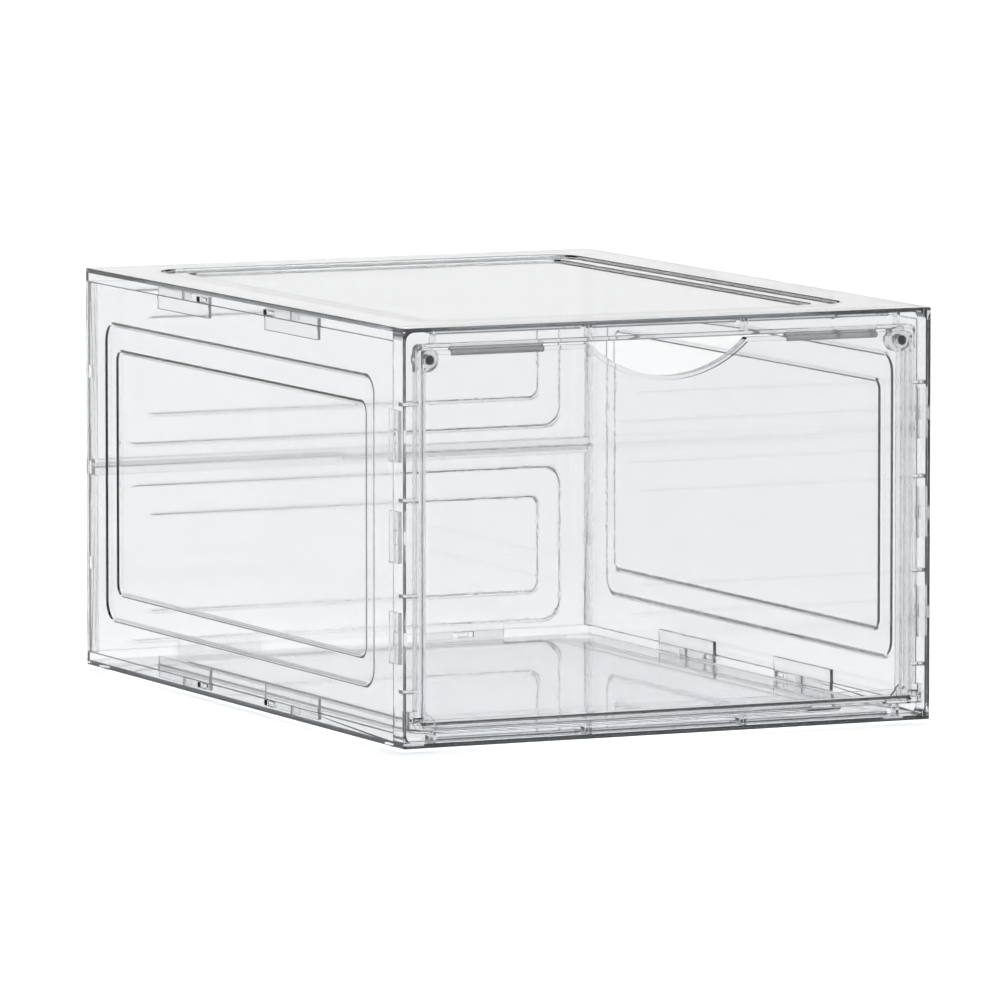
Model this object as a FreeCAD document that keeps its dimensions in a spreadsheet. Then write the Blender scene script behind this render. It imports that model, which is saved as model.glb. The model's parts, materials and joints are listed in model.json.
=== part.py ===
"""Clear drop-front shoe box: a frame, six snap-in panels, a hinged front door and four magnets.

Own frame: X to the right, Y to the back, Z up. The origin is the middle of the footprint, on the surface
that the box stands on, so the front face is at -Y. All lengths are millimetres, all angles degrees.
"""
import FreeCAD, Part
import math
import os

import Sketcher

SHEET_NAME = "sizes"

DRIVING_SIZES = {
    # the whole box
    "box_width": 250.0,
    "box_depth": 340.0,
    "box_height": 180.0,
    "foot_height": 1.4,
    # mouldings
    "panel_wall": 2.0,
    "rim_height": 5.8,
    "rim_wall": 1.6,
    "emboss_step": 1.0,
    "emboss_taper": 60.0,
    # how far a cut starts outside a face and ends past a wall
    "cut_margin": 1.0,
    "cut_spare": 0.5,
    # stepped rectangles of the side panels
    "side_end_margin": 21.9,
    "side_edge_margin": 17.0,
    "side_outer_round": 8.0,
    "side_step_length": 10.0,
    "side_step_height": 11.8,
    "side_inner_round": 4.5,
    # stepped rectangles of the half back panels
    "back_side_margin": 13.5,
    "back_rim_margin": 3.3,
    "back_seam_margin": 9.0,
    "back_outer_round": 9.0,
    "back_step_length": 11.6,
    "back_step_height": 13.2,
    "back_inner_round": 5.0,
    # stepped rectangles of the floor and the roof
    "cap_outer_margin": 22.0,
    "cap_outer_round": 14.0,
    "cap_step": 11.0,
    "cap_inner_round": 8.0,
    # snap lugs, their nubs and windows
    "lug_wall": 1.6,
    "lug_reach": 3.4,
    "lug_root": 6.0,
    "lug_gap": 0.2,
    "nub_length": 5.0,
    "nub_height": 1.4,
    "nub_proud": 0.9,
    "window_gap": 0.4,
    "seat_gap": 0.2,
    # lug pockets in the rims of the floor and the roof
    "pocket_offset": 58.0,
    "pocket_length": 56.0,
    "pocket_rib": 1.4,
    "pocket_rib_reach": 5.0,
    "rim_window_offset": 36.0,
    "rim_window_length": 11.0,
    "rear_lug_offset": 60.0,
    "rear_lug_length": 40.0,
    # back panel flanges and the seam between the halves
    "flange_wall": 1.6,
    "flange_depth": 5.5,
    "seam_rail_height": 3.4,
    "tongue_wall": 1.2,
    "tongue_reach": 1.6,
    "rear_nub_inset": 1.6,
    # feet
    "foot_radius": 7.0,
    "foot_inset": 11.0,
    # front frame
    "frame_depth": 10.0,
    "frame_skirt": 1.8,
    "frame_face": 1.8,
    "frame_inner_round": 4.0,
    "post_width": 8.5,
    "top_rail": 8.8,
    "bottom_rail": 8.8,
    "rebate_wall": 1.6,
    "rebate_round": 1.0,
    "ledge_reach": 3.8,
    "ledge_wall": 1.8,
    "return_wall": 1.4,
    "rib_wall": 1.4,
    "rib_reach": 6.2,
    "rail_rib_inner": 36.8,
    "rail_rib_outer": 110.0,
    "post_rib_low_margin": 24.1,
    "post_rib_high_margin": 32.4,
    "stop_bar_length": 43.5,
    "stop_bar_inset": 24.0,
    "stop_bar_height": 3.8,
    "gusset_leg": 6.5,
    "front_nub_pitch": 43.0,
    "front_lug_rib_gap": 1.5,
    "front_lug_length": 22.0,
    # door
    "door_thickness": 4.5,
    "door_plate": 2.0,
    "door_rim": 2.0,
    "door_side_gap": 0.5,
    "door_top_gap": 1.0,
    "door_bottom_gap": 0.4,
    "door_back_gap": 0.3,
    "door_corner_round": 2.5,
    "door_inner_round": 1.5,
    "door_root": 0.2,
    "scoop_radius": 53.0,
    "scoop_depth": 15.0,
    # hinge
    "stub_radius": 1.5,
    "stub_length": 3.6,
    "stub_play": 0.05,
    "stub_end_gap": 0.4,
    "hinge_block_wall": 2.6,
    "hinge_block_end": 1.6,
    # magnets
    "magnet_radius": 2.2,
    "magnet_thickness": 2.0,
    "magnet_play": 0.05,
    "magnet_cover": 1.0,
    "door_boss_radius": 3.8,
    "door_boss_inset": 0.3,
    "frame_boss_radius": 5.4,
}


class Size:
    """A length or angle: its number, and the sheet formula that gives that number."""

    def __init__(self, value, formula):
        self.value = value
        self.formula = formula

    def __add__(self, other):
        other = size(other)
        return Size(self.value + other.value, f"({self.formula} + {other.formula})")

    def __sub__(self, other):
        other = size(other)
        return Size(self.value - other.value, f"({self.formula} - {other.formula})")

    def __mul__(self, other):
        other = size(other)
        return Size(self.value * other.value, f"({self.formula} * {other.formula})")

    def __truediv__(self, other):
        other = size(other)
        return Size(self.value / other.value, f"({self.formula} / {other.formula})")

    def __neg__(self):
        return Size(-self.value, f"(-{self.formula})")


def size(value):
    """Give any number as a Size."""
    if isinstance(value, Size):
        return value
    return Size(float(value), repr(float(value)))


def make_sheet(doc):
    """Write the driving sizes into a spreadsheet, one named cell each."""
    sheet = doc.addObject("Spreadsheet::Sheet", SHEET_NAME)
    for row, (name, number) in enumerate(DRIVING_SIZES.items(), start=1):
        sheet.set(f"A{row}", name)
        sheet.set(f"B{row}", str(number))
        sheet.setAlias(f"B{row}", name)
    doc.recompute()
    return sheet


def named_sizes():
    """Give every driving size by its name."""
    return {name: Size(number, f"{SHEET_NAME}.{name}") for name, number in DRIVING_SIZES.items()}


SIZES = named_sizes()


def s(name):
    """Give one driving size."""
    return SIZES[name]


def bevel_spread():
    """Give how far a sloping step moves sideways through the wall, so that the wall keeps its thickness."""
    half_slope = SIZES["emboss_taper"] / 2
    tangent = Size(math.tan(math.radians(half_slope.value)), f"tan({half_slope.formula} * 1 deg)")
    return SIZES["panel_wall"] * tangent


# How many cross ribs each post of the frame has.
POST_RIBS = 4

# Levels and places that several pieces share.
HALF_WIDTH = s("box_width") / 2
FRONT = -s("box_depth") / 2
BACK = s("box_depth") / 2
SHELL_HEIGHT = s("box_height") - s("foot_height")
MIDDLE = s("foot_height") + SHELL_HEIGHT / 2
SHELL_FRONT = FRONT + s("frame_depth") + s("seat_gap")
SHELL_LENGTH = s("box_depth") - s("frame_depth") - s("seat_gap")
SHELL_CENTRE = SHELL_FRONT + SHELL_LENGTH / 2
PANEL_HEIGHT = SHELL_HEIGHT - s("rim_height") * 2 - s("seat_gap") * 2
BACK_HALF_WIDTH = HALF_WIDTH - s("panel_wall") - s("lug_gap")
LUG_MIDDLE = s("lug_reach") / 2

# The door's opening in the frame, measured in the frame's own plane from the middle of the shell.
REBATE_HALF_WIDTH = HALF_WIDTH - s("post_width")
REBATE_TOP = SHELL_HEIGHT / 2 - s("top_rail")
REBATE_BOTTOM = -SHELL_HEIGHT / 2 + s("bottom_rail")
REBATE_DEPTH = s("door_thickness") + s("door_back_gap")
LEDGE_BACK = REBATE_DEPTH + s("ledge_wall")
HINGE_RADIUS = s("door_thickness") / 2
HINGE_HEIGHT = REBATE_BOTTOM + s("door_bottom_gap") + HINGE_RADIUS
DOOR_HALF_WIDTH = REBATE_HALF_WIDTH - s("door_side_gap")
DOOR_TOP = REBATE_TOP - s("door_top_gap")
MAGNET_ACROSS = DOOR_HALF_WIDTH - s("door_boss_radius") - s("door_boss_inset")
MAGNET_HEIGHT = DOOR_TOP - s("door_boss_radius") - s("door_boss_inset")


def bind(item, path, amount):
    """Tie one property of an object to a sheet formula."""
    item.setExpression(path, size(amount).formula)


def add_body(doc, label):
    """Start a piece."""
    body = doc.addObject("PartDesign::Body", label)
    body.Label = label
    return body


def origin_plane(body, role):
    """Find one of a body's own origin planes or axes."""
    return next(item for item in body.Origin.OriginFeatures if item.Role == role)


def add_sketch(body, name, level, role="XY_Plane"):
    """Start a sketch on one of the body's origin planes, moved along the plane's normal."""
    sketch = body.newObject("Sketcher::SketchObject", name)
    sketch.AttachmentSupport = (origin_plane(body, role), [""])
    sketch.MapMode = "FlatFace"
    bind(sketch, ".AttachmentOffset.Base.z", level)
    return sketch


def place_point(sketch, element, vertex, axis, amount):
    """Hold one coordinate of a point at an amount measured from the sketch's origin."""
    amount = size(amount)
    kind = "DistanceX" if axis == "x" else "DistanceY"
    if amount.value < 0:
        amount = -amount
        rule = Sketcher.Constraint(kind, element, vertex, -1, 1, amount.value)
    else:
        rule = Sketcher.Constraint(kind, -1, 1, element, vertex, amount.value)
    index = sketch.addConstraint(rule)
    bind(sketch, f"Constraints[{index}]", amount)


def add_polygon(sketch, points):
    """Draw a closed polygon whose corners are all held in place."""
    corners = [(size(across), size(up)) for across, up in points]
    vectors = [FreeCAD.Vector(across.value, up.value, 0) for across, up in corners]
    first = None
    for start, end in zip(vectors, vectors[1:] + vectors[:1]):
        index = sketch.addGeometry(Part.LineSegment(start, end))
        first = index if first is None else first
    count = len(corners)
    for step in range(count):
        follower = first + (step + 1) % count
        sketch.addConstraint(Sketcher.Constraint("Coincident", first + step, 2, follower, 1))
    for step, (across, up) in enumerate(corners):
        place_point(sketch, first + step, 1, "x", across)
        place_point(sketch, first + step, 1, "y", up)


def add_rectangle(sketch, left, right, low, high):
    """Draw a rectangle from its four sides."""
    add_polygon(sketch, [(left, low), (right, low), (right, high), (left, high)])


def add_rounded_rectangle(sketch, left, right, low, high, radius):
    """Draw a rectangle with four equal round corners."""
    left, right, low, high, radius = (size(item) for item in (left, right, low, high, radius))
    x_low, x_high, y_low, y_high, curve = (item.value for item in (left, right, low, high, radius))
    up = FreeCAD.Vector(0, 0, 1)
    quarter = math.pi / 2
    sides = [
        ((x_low + curve, y_low), (x_high - curve, y_low)),
        ((x_high, y_low + curve), (x_high, y_high - curve)),
        ((x_high - curve, y_high), (x_low + curve, y_high)),
        ((x_low, y_high - curve), (x_low, y_low + curve)),
    ]
    centres = [
        (x_high - curve, y_low + curve),
        (x_high - curve, y_high - curve),
        (x_low + curve, y_high - curve),
        (x_low + curve, y_low + curve),
    ]
    lines = []
    arcs = []
    for turn, ((start, end), centre) in enumerate(zip(sides, centres)):
        segment = Part.LineSegment(FreeCAD.Vector(*start, 0), FreeCAD.Vector(*end, 0))
        lines.append(sketch.addGeometry(segment))
        circle = Part.Circle(FreeCAD.Vector(*centre, 0), up, curve)
        first_angle = (turn - 1) * quarter
        arcs.append(sketch.addGeometry(Part.ArcOfCircle(circle, first_angle, first_angle + quarter)))
    for turn in range(4):
        sketch.addConstraint(Sketcher.Constraint("Tangent", lines[turn], 2, arcs[turn], 1))
        sketch.addConstraint(Sketcher.Constraint("Tangent", arcs[turn], 2, lines[(turn + 1) % 4], 1))
        sketch.addConstraint(Sketcher.Constraint("Horizontal" if turn % 2 == 0 else "Vertical", lines[turn]))
    for turn in range(1, 4):
        sketch.addConstraint(Sketcher.Constraint("Equal", arcs[0], arcs[turn]))
    index = sketch.addConstraint(Sketcher.Constraint("Radius", arcs[0], curve))
    bind(sketch, f"Constraints[{index}]", radius)
    place_point(sketch, lines[0], 1, "y", low)
    place_point(sketch, lines[1], 1, "x", right)
    place_point(sketch, lines[2], 1, "y", high)
    place_point(sketch, lines[3], 1, "x", left)


def add_circle(sketch, across, up, radius):
    """Draw a circle."""
    across, up, radius = size(across), size(up), size(radius)
    centre = FreeCAD.Vector(across.value, up.value, 0)
    circle = sketch.addGeometry(Part.Circle(centre, FreeCAD.Vector(0, 0, 1), radius.value))
    place_point(sketch, circle, 3, "x", across)
    place_point(sketch, circle, 3, "y", up)
    index = sketch.addConstraint(Sketcher.Constraint("Radius", circle, radius.value))
    bind(sketch, f"Constraints[{index}]", radius)


def add_pad(body, name, sketch, length, taper=None):
    """Add material from a sketch, upwards along its normal."""
    return finish_extrusion(body.newObject("PartDesign::Pad", name), sketch, length, taper, False)


def add_pad_down(body, name, sketch, length, taper=None):
    """Add material from a sketch, against its normal."""
    return finish_extrusion(body.newObject("PartDesign::Pad", name), sketch, length, taper, True)


def add_pocket(body, name, sketch, length, taper=None):
    """Cut from a sketch, against its normal."""
    return finish_extrusion(body.newObject("PartDesign::Pocket", name), sketch, length, taper, False)


def finish_extrusion(feature, sketch, length, taper, reverse):
    """Set up a pad or a pocket."""
    feature.Profile = sketch
    feature.Type = 0
    feature.Reversed = reverse
    bind(feature, "Length", length)
    if taper is not None:
        bind(feature, "TaperAngle", taper)
    return feature


def put(body, rotation, across, along, up):
    """Place a piece in the box."""
    body.Placement = FreeCAD.Placement(FreeCAD.Vector(0, 0, 0), rotation)
    bind(body, ".Placement.Base.x", across)
    bind(body, ".Placement.Base.y", along)
    bind(body, ".Placement.Base.z", up)


def turned(x_axis, y_axis):
    """Give the rotation that takes a piece's own X and Y to two directions of the box."""
    x_vector = FreeCAD.Vector(*x_axis)
    y_vector = FreeCAD.Vector(*y_axis)
    return FreeCAD.Rotation(x_vector, y_vector, x_vector.cross(y_vector), "XYZ")


def emboss(body, name, left, right, low, high, radius, level):
    """Press one stepped rectangle inwards: a recess outside, and a swelling that keeps the wall inside."""
    step = s("emboss_step")
    taper = s("emboss_taper")
    outside = add_sketch(body, f"{name}_recess_outline", level)
    add_rounded_rectangle(outside, left, right, low, high, radius)
    swelling_top = level - s("panel_wall")
    spread = bevel_spread()
    inside = add_sketch(body, f"{name}_swelling_outline", swelling_top)
    grown = size(radius) + spread
    add_rounded_rectangle(inside, left - spread, right + spread, low - spread, high + spread, grown)
    add_pad_down(body, f"{name}_swelling", inside, step, -taper)
    add_pocket(body, f"{name}_recess", outside, step, -taper)


def cut_windows(body, name, role, level, boxes, depth, along):
    """Cut rectangular holes into a piece from a plane just outside it."""
    sketch = add_sketch(body, f"{name}_outline", level, role)
    for left, right, low, high in boxes:
        add_rectangle(sketch, left, right, low, high)
    pocket = add_pocket(body, name, sketch, depth)
    pocket.Reversed = along


def add_lugs(body, name, host_wall, roots, reaches, nubs):
    """Add snap lugs that pass just inside a neighbour's wall, with nubs that face outwards."""
    top = -host_wall - s("lug_gap")
    start = -s("panel_wall") / 2
    root_outline = add_sketch(body, f"{name}_root_outline", start)
    for box in roots:
        add_rectangle(root_outline, *box)
    add_pad_down(body, f"{name}_root", root_outline, start - top + s("lug_wall"))
    reach_outline = add_sketch(body, f"{name}_reach_outline", top)
    for box in reaches:
        add_rectangle(reach_outline, *box)
    add_pad_down(body, f"{name}_reach", reach_outline, s("lug_wall"))
    nub_outline = add_sketch(body, f"{name}_nub_outline", top)
    for box in nubs:
        add_rectangle(nub_outline, *box)
    add_pad(body, f"{name}_nub", nub_outline, s("nub_proud"))


def across_box(centre, length, low, high):
    """Give a rectangle by its middle and length in X and its two limits in Y."""
    return (centre - length / 2, centre + length / 2, low, high)


def along_box(centre, length, low, high):
    """Give a rectangle by its two limits in X and its middle and length in Y."""
    return (low, high, centre - length / 2, centre + length / 2)


def build_side_panel(doc, label):
    """Side panel: own X to the back of the box, own Y up or down, own Z outwards."""
    body = add_body(doc, label)
    half_length = SHELL_LENGTH / 2
    half_height = PANEL_HEIGHT / 2
    plate = add_sketch(body, "plate_outline", 0)
    add_rectangle(plate, -half_length, half_length, -half_height, half_height)
    add_pad_down(body, "plate", plate, s("panel_wall"))

    outer_x = half_length - s("side_end_margin")
    outer_y = half_height - s("side_edge_margin")
    emboss(body, "outer", -outer_x, outer_x, -outer_y, outer_y, s("side_outer_round"), size(0))
    inner_x = outer_x - s("side_step_length")
    inner_y = outer_y - s("side_step_height")
    inner_level = -s("emboss_step")
    emboss(body, "inner", -inner_x, inner_x, -inner_y, inner_y, s("side_inner_round"), inner_level)

    edge_in = half_height - s("lug_root")
    edge_out = half_height + s("lug_reach")
    nub_low = half_height + LUG_MIDDLE - s("nub_height") / 2
    nub_high = half_height + LUG_MIDDLE + s("nub_height") / 2
    half_lug = (s("pocket_length") - s("pocket_rib")) / 2 - s("window_gap")
    half_lug_shift = s("pocket_rib") / 2 + s("window_gap") / 2 + half_lug / 2
    roots, reaches, nubs = [], [], []
    for side in (-1, 1):
        pocket = s("pocket_offset") * side
        nub_centre = s("rim_window_offset") * side
        for edge in (-1, 1):
            low, high = sorted_pair(edge_in * edge, half_height * edge)
            roots.append(across_box(pocket, s("pocket_length"), low, high))
            low, high = sorted_pair(edge_in * edge, edge_out * edge)
            for half in (-1, 1):
                reaches.append(across_box(pocket + half_lug_shift * half, half_lug, low, high))
            low, high = sorted_pair(nub_low * edge, nub_high * edge)
            nubs.append(across_box(nub_centre, s("nub_length"), low, high))
    add_lugs(body, "rim_lug", s("rim_wall"), roots, reaches, nubs)

    front = -half_length
    nub_front = front - LUG_MIDDLE - s("nub_height") / 2
    nub_back = front - LUG_MIDDLE + s("nub_height") / 2
    roots, reaches, nubs = [], [], []
    for step in (-1, 0, 1):
        height = s("front_nub_pitch") * step
        roots.append(along_box(height, s("front_lug_length"), front, front + s("lug_root")))
        limits = (front - s("lug_reach"), front + s("lug_root"))
        reaches.append(along_box(height, s("front_lug_length"), *limits))
        nubs.append(along_box(height, s("nub_length"), nub_front, nub_back))
    add_lugs(body, "front_lug", s("frame_skirt"), roots, reaches, nubs)

    window_back = half_length - s("panel_wall") - s("rear_nub_inset") + s("window_gap")
    window_front = window_back - s("nub_height") - s("window_gap") * 2
    windows = []
    for step in (-1, 0, 1):
        length = s("nub_length") + s("window_gap") * 2
        windows.append(along_box(s("front_nub_pitch") * step, length, window_front, window_back))
    through = s("panel_wall") + s("cut_margin") * 2
    cut_windows(body, "rear_window", "XY_Plane", s("cut_margin"), windows, through, False)
    return body


def sorted_pair(first, second):
    """Give two sizes with the smaller one first."""
    return (first, second) if first.value < second.value else (second, first)


def build_back_panel(doc, label):
    """Half back panel: own Y from the seam (0) out to the rim (negative), own Z outwards."""
    body = add_body(doc, label)
    half_width = BACK_HALF_WIDTH
    edge = -PANEL_HEIGHT / 2
    seam = -s("seat_gap") / 2
    plate = add_sketch(body, "plate_outline", 0)
    add_rectangle(plate, -half_width, half_width, edge, seam)
    add_pad_down(body, "plate", plate, s("panel_wall"))

    outer_x = half_width - s("back_side_margin")
    top = -s("back_seam_margin")
    bottom = edge + s("back_rim_margin")
    emboss(body, "outer", -outer_x, outer_x, bottom, top, s("back_outer_round"), size(0))
    inner_x = outer_x - s("back_step_length")
    inner_top = top - s("back_step_height")
    inner_bottom = bottom + s("back_step_height")
    inner_level = -s("emboss_step")
    emboss(body, "inner", -inner_x, inner_x, inner_bottom, inner_top, s("back_inner_round"), inner_level)

    under = -s("panel_wall")
    flange_in = half_width - s("flange_wall")
    flanges = add_sketch(body, "flange_outline", under / 2)
    rail_low = seam - s("seam_rail_height")
    add_polygon(flanges, [
        (-half_width, edge), (-flange_in, edge), (-flange_in, rail_low), (flange_in, rail_low),
        (flange_in, edge), (half_width, edge), (half_width, seam), (-half_width, seam),
    ])
    add_pad_down(body, "flange", flanges, s("flange_depth") + s("panel_wall") / 2)

    nub_top = under - s("rear_nub_inset")
    nubs = add_sketch(body, "side_nub_outline", nub_top)
    nub_inside = half_width - s("flange_wall") / 2
    nub_outside = half_width + s("nub_proud")
    for side in (-1, 1):
        low, high = sorted_pair(nub_inside * side, nub_outside * side)
        add_rectangle(nubs, low, high, seam - s("nub_length") / 2, seam)
        height = -s("front_nub_pitch")
        add_rectangle(nubs, low, high, height - s("nub_length") / 2, height + s("nub_length") / 2)
    add_pad_down(body, "side_nub", nubs, s("nub_height"))

    tongue_top = under - (s("flange_depth") - s("tongue_wall")) / 2
    tongue = add_sketch(body, "tongue_outline", tongue_top)
    tongue_end = half_width - s("flange_wall") - s("window_gap")
    add_rectangle(tongue, s("window_gap"), tongue_end, rail_low / 2, s("tongue_reach"))
    add_pad_down(body, "tongue", tongue, s("tongue_wall"))
    groove = add_sketch(body, "groove_outline", tongue_top + s("window_gap") / 2)
    groove_floor = seam - s("tongue_reach") - s("window_gap")
    add_rectangle(groove, -tongue_end - s("window_gap"), size(0), groove_floor, s("tongue_reach"))
    add_pocket(body, "groove", groove, s("tongue_wall") + s("window_gap"))

    roots, reaches, nubs = [], [], []
    for side in (-1, 1):
        centre = s("rear_lug_offset") * side
        roots.append(across_box(centre, s("rear_lug_length"), edge, edge + s("lug_root") / 2))
        limits = (edge - s("lug_reach"), edge + s("lug_root") / 2)
        reaches.append(across_box(centre, s("rear_lug_length"), *limits))
        middle = edge - LUG_MIDDLE
        limits = (middle - s("nub_height") / 2, middle + s("nub_height") / 2)
        nubs.append(across_box(centre, s("nub_length"), *limits))
    add_lugs(body, "rim_lug", s("rim_wall"), roots, reaches, nubs)
    return body


def build_cap(doc, label, with_feet):
    """Floor or roof: own X across, own Y to the back, own Z outwards, with the rim hanging inwards."""
    body = add_body(doc, label)
    deck = add_sketch(body, "deck_outline", 0)
    add_rectangle(deck, -HALF_WIDTH, HALF_WIDTH, SHELL_FRONT, BACK)
    add_pad_down(body, "deck", deck, s("panel_wall"))

    rim_in = HALF_WIDTH - s("rim_wall")
    rim_back = BACK - s("rim_wall")
    rim = add_sketch(body, "rim_outline", 0)
    add_polygon(rim, [
        (-HALF_WIDTH, SHELL_FRONT), (-rim_in, SHELL_FRONT), (-rim_in, rim_back), (rim_in, rim_back),
        (rim_in, SHELL_FRONT), (HALF_WIDTH, SHELL_FRONT), (HALF_WIDTH, BACK), (-HALF_WIDTH, BACK),
    ])
    add_pad_down(body, "rim", rim, s("rim_height"))

    margin = s("cap_outer_margin")
    outer_x = HALF_WIDTH - margin
    front, back = SHELL_FRONT + margin, BACK - margin
    emboss(body, "outer", -outer_x, outer_x, front, back, s("cap_outer_round"), size(0))
    inner_x = outer_x - s("cap_step")
    front, back = front + s("cap_step"), back - s("cap_step")
    inner_level = -s("emboss_step")
    emboss(body, "inner", -inner_x, inner_x, front, back, s("cap_inner_round"), inner_level)

    ribs = add_sketch(body, "rib_outline", -s("panel_wall") / 2)
    for side in (-1, 1):
        low, high = sorted_pair((rim_in - s("pocket_rib_reach")) * side, (rim_in + s("rim_wall") / 2) * side)
        for end in (-1, 1):
            centre = SHELL_CENTRE + s("pocket_offset") * end
            add_rectangle(ribs, *along_box(centre, s("pocket_rib"), low, high))
    add_pad_down(body, "rib", ribs, s("rim_height") - s("panel_wall") / 2)

    top = -s("frame_skirt") - s("lug_gap")
    start = -s("panel_wall") / 2
    root = add_sketch(body, "front_lug_root_outline", start)
    reach = add_sketch(body, "front_lug_reach_outline", top)
    spare = s("rib_wall") / 2 + s("front_lug_rib_gap")
    inner, outer = s("rail_rib_inner"), s("rail_rib_outer")
    for left, right in ((-outer, -inner), (-inner, inner), (inner, outer)):
        add_rectangle(root, left + spare, right - spare, SHELL_FRONT, SHELL_FRONT + s("lug_root"))
        limits = (SHELL_FRONT - s("lug_reach"), SHELL_FRONT + s("lug_root"))
        add_rectangle(reach, left + spare, right - spare, *limits)
    add_pad_down(body, "front_lug_root", root, start - top + s("lug_wall"))
    add_pad_down(body, "front_lug_reach", reach, s("lug_wall"))

    lug_level = -s("rim_height") - s("seat_gap") + LUG_MIDDLE
    low = lug_level - s("nub_height") / 2 - s("window_gap")
    high = lug_level + s("nub_height") / 2 + s("window_gap")
    cut = s("cut_margin") + s("rim_wall") + s("cut_spare")
    beside = HALF_WIDTH + s("cut_margin")
    behind = -BACK - s("cut_margin")
    side_windows = [
        across_box(SHELL_CENTRE + s("rim_window_offset") * end, s("rim_window_length"), low, high)
        for end in (-1, 1)
    ]
    cut_windows(body, "right_window", "YZ_Plane", beside, side_windows, cut, False)
    cut_windows(body, "left_window", "YZ_Plane", -beside, side_windows, cut, True)
    rear_windows = [
        across_box(s("rear_lug_offset") * end, s("rim_window_length"), low, high) for end in (-1, 1)
    ]
    cut_windows(body, "rear_window", "XZ_Plane", behind, rear_windows, cut, True)

    if with_feet:
        feet = add_sketch(body, "feet_outline", 0)
        for side in (-1, 1):
            for end in (SHELL_FRONT + s("foot_inset"), BACK - s("foot_inset")):
                add_circle(feet, (HALF_WIDTH - s("foot_inset")) * side, end, s("foot_radius"))
        add_pad(body, "feet", feet, s("foot_height"))
    return body


def build_frame(doc):
    """Front frame: own X across, own Y up from the middle of the shell, own Z to the front."""
    body = add_body(doc, "front_frame")
    half_height = SHELL_HEIGHT / 2
    opening = (-REBATE_HALF_WIDTH, REBATE_HALF_WIDTH, REBATE_BOTTOM, REBATE_TOP)
    outline = (-HALF_WIDTH, HALF_WIDTH, -half_height, half_height)

    face = add_sketch(body, "face_outline", 0)
    add_rectangle(face, *outline)
    add_rounded_rectangle(face, *opening, s("rebate_round"))
    add_pad_down(body, "face", face, s("frame_face"))

    skirt = add_sketch(body, "skirt_outline", 0)
    add_rectangle(skirt, *outline)
    in_x = HALF_WIDTH - s("frame_skirt")
    in_y = half_height - s("frame_skirt")
    add_rounded_rectangle(skirt, -in_x, in_x, -in_y, in_y, s("frame_inner_round"))
    add_pad_down(body, "skirt", skirt, s("frame_depth"))

    wall = s("rebate_wall")
    rebate = add_sketch(body, "rebate_outline", 0)
    add_rounded_rectangle(rebate, *opening, s("rebate_round"))
    around = (-REBATE_HALF_WIDTH - wall, REBATE_HALF_WIDTH + wall, REBATE_BOTTOM - wall, REBATE_TOP + wall)
    add_rounded_rectangle(rebate, *around, s("rebate_round") + wall)
    add_pad_down(body, "rebate", rebate, LEDGE_BACK)

    ledge_in = REBATE_HALF_WIDTH - s("ledge_reach")
    low, high = REBATE_BOTTOM - wall / 2, REBATE_TOP + wall / 2
    ledges = add_sketch(body, "ledge_outline", -REBATE_DEPTH)
    returns = add_sketch(body, "return_outline", -REBATE_DEPTH)
    for side in (-1, 1):
        ledge_x = sorted_pair(ledge_in * side, (REBATE_HALF_WIDTH + wall / 2) * side)
        add_rectangle(ledges, *ledge_x, low, high)
        return_x = sorted_pair(ledge_in * side, (ledge_in + s("return_wall")) * side)
        add_rectangle(returns, *return_x, low, high)
    add_pad_down(body, "ledge", ledges, s("ledge_wall"))
    add_pad_down(body, "return", returns, s("frame_depth") - REBATE_DEPTH)

    stops = add_sketch(body, "stop_outline", -REBATE_DEPTH)
    bar_far = HALF_WIDTH - s("stop_bar_inset")
    bar_near = bar_far - s("stop_bar_length")
    drop = s("stop_bar_height")
    leg = s("gusset_leg")
    for side in (-1, 1):
        add_polygon(stops, [
            (bar_near * side, high), (bar_near * side, REBATE_TOP),
            ((bar_near + drop) * side, REBATE_TOP - drop), ((bar_far - drop) * side, REBATE_TOP - drop),
            (bar_far * side, REBATE_TOP), (bar_far * side, high),
        ])
        corner_x = ledge_in + s("return_wall") / 2
        corner_y = REBATE_BOTTOM - wall / 2
        reach = leg + s("return_wall") / 2 + wall / 2
        add_polygon(stops, [
            (corner_x * side, corner_y), (corner_x * side, corner_y + reach),
            ((corner_x - reach) * side, corner_y),
        ])
    add_pad_down(body, "stop", stops, s("ledge_wall"))

    bosses = add_sketch(body, "boss_outline", -REBATE_DEPTH)
    for side in (-1, 1):
        add_circle(bosses, MAGNET_ACROSS * side, MAGNET_HEIGHT, s("frame_boss_radius"))
    add_pad_down(body, "boss", bosses, s("frame_depth") - REBATE_DEPTH)
    pockets = add_sketch(body, "magnet_pocket_outline", -s("frame_depth"))
    for side in (-1, 1):
        add_circle(pockets, MAGNET_ACROSS * side, MAGNET_HEIGHT, s("magnet_radius") + s("magnet_play"))
    pocket = add_pocket(body, "magnet_pocket", pockets, s("frame_depth") - REBATE_DEPTH - s("magnet_cover"))
    pocket.Reversed = True

    add_frame_ribs(body)
    add_hinge_blocks(body)
    add_frame_windows(body)
    return body


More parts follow.
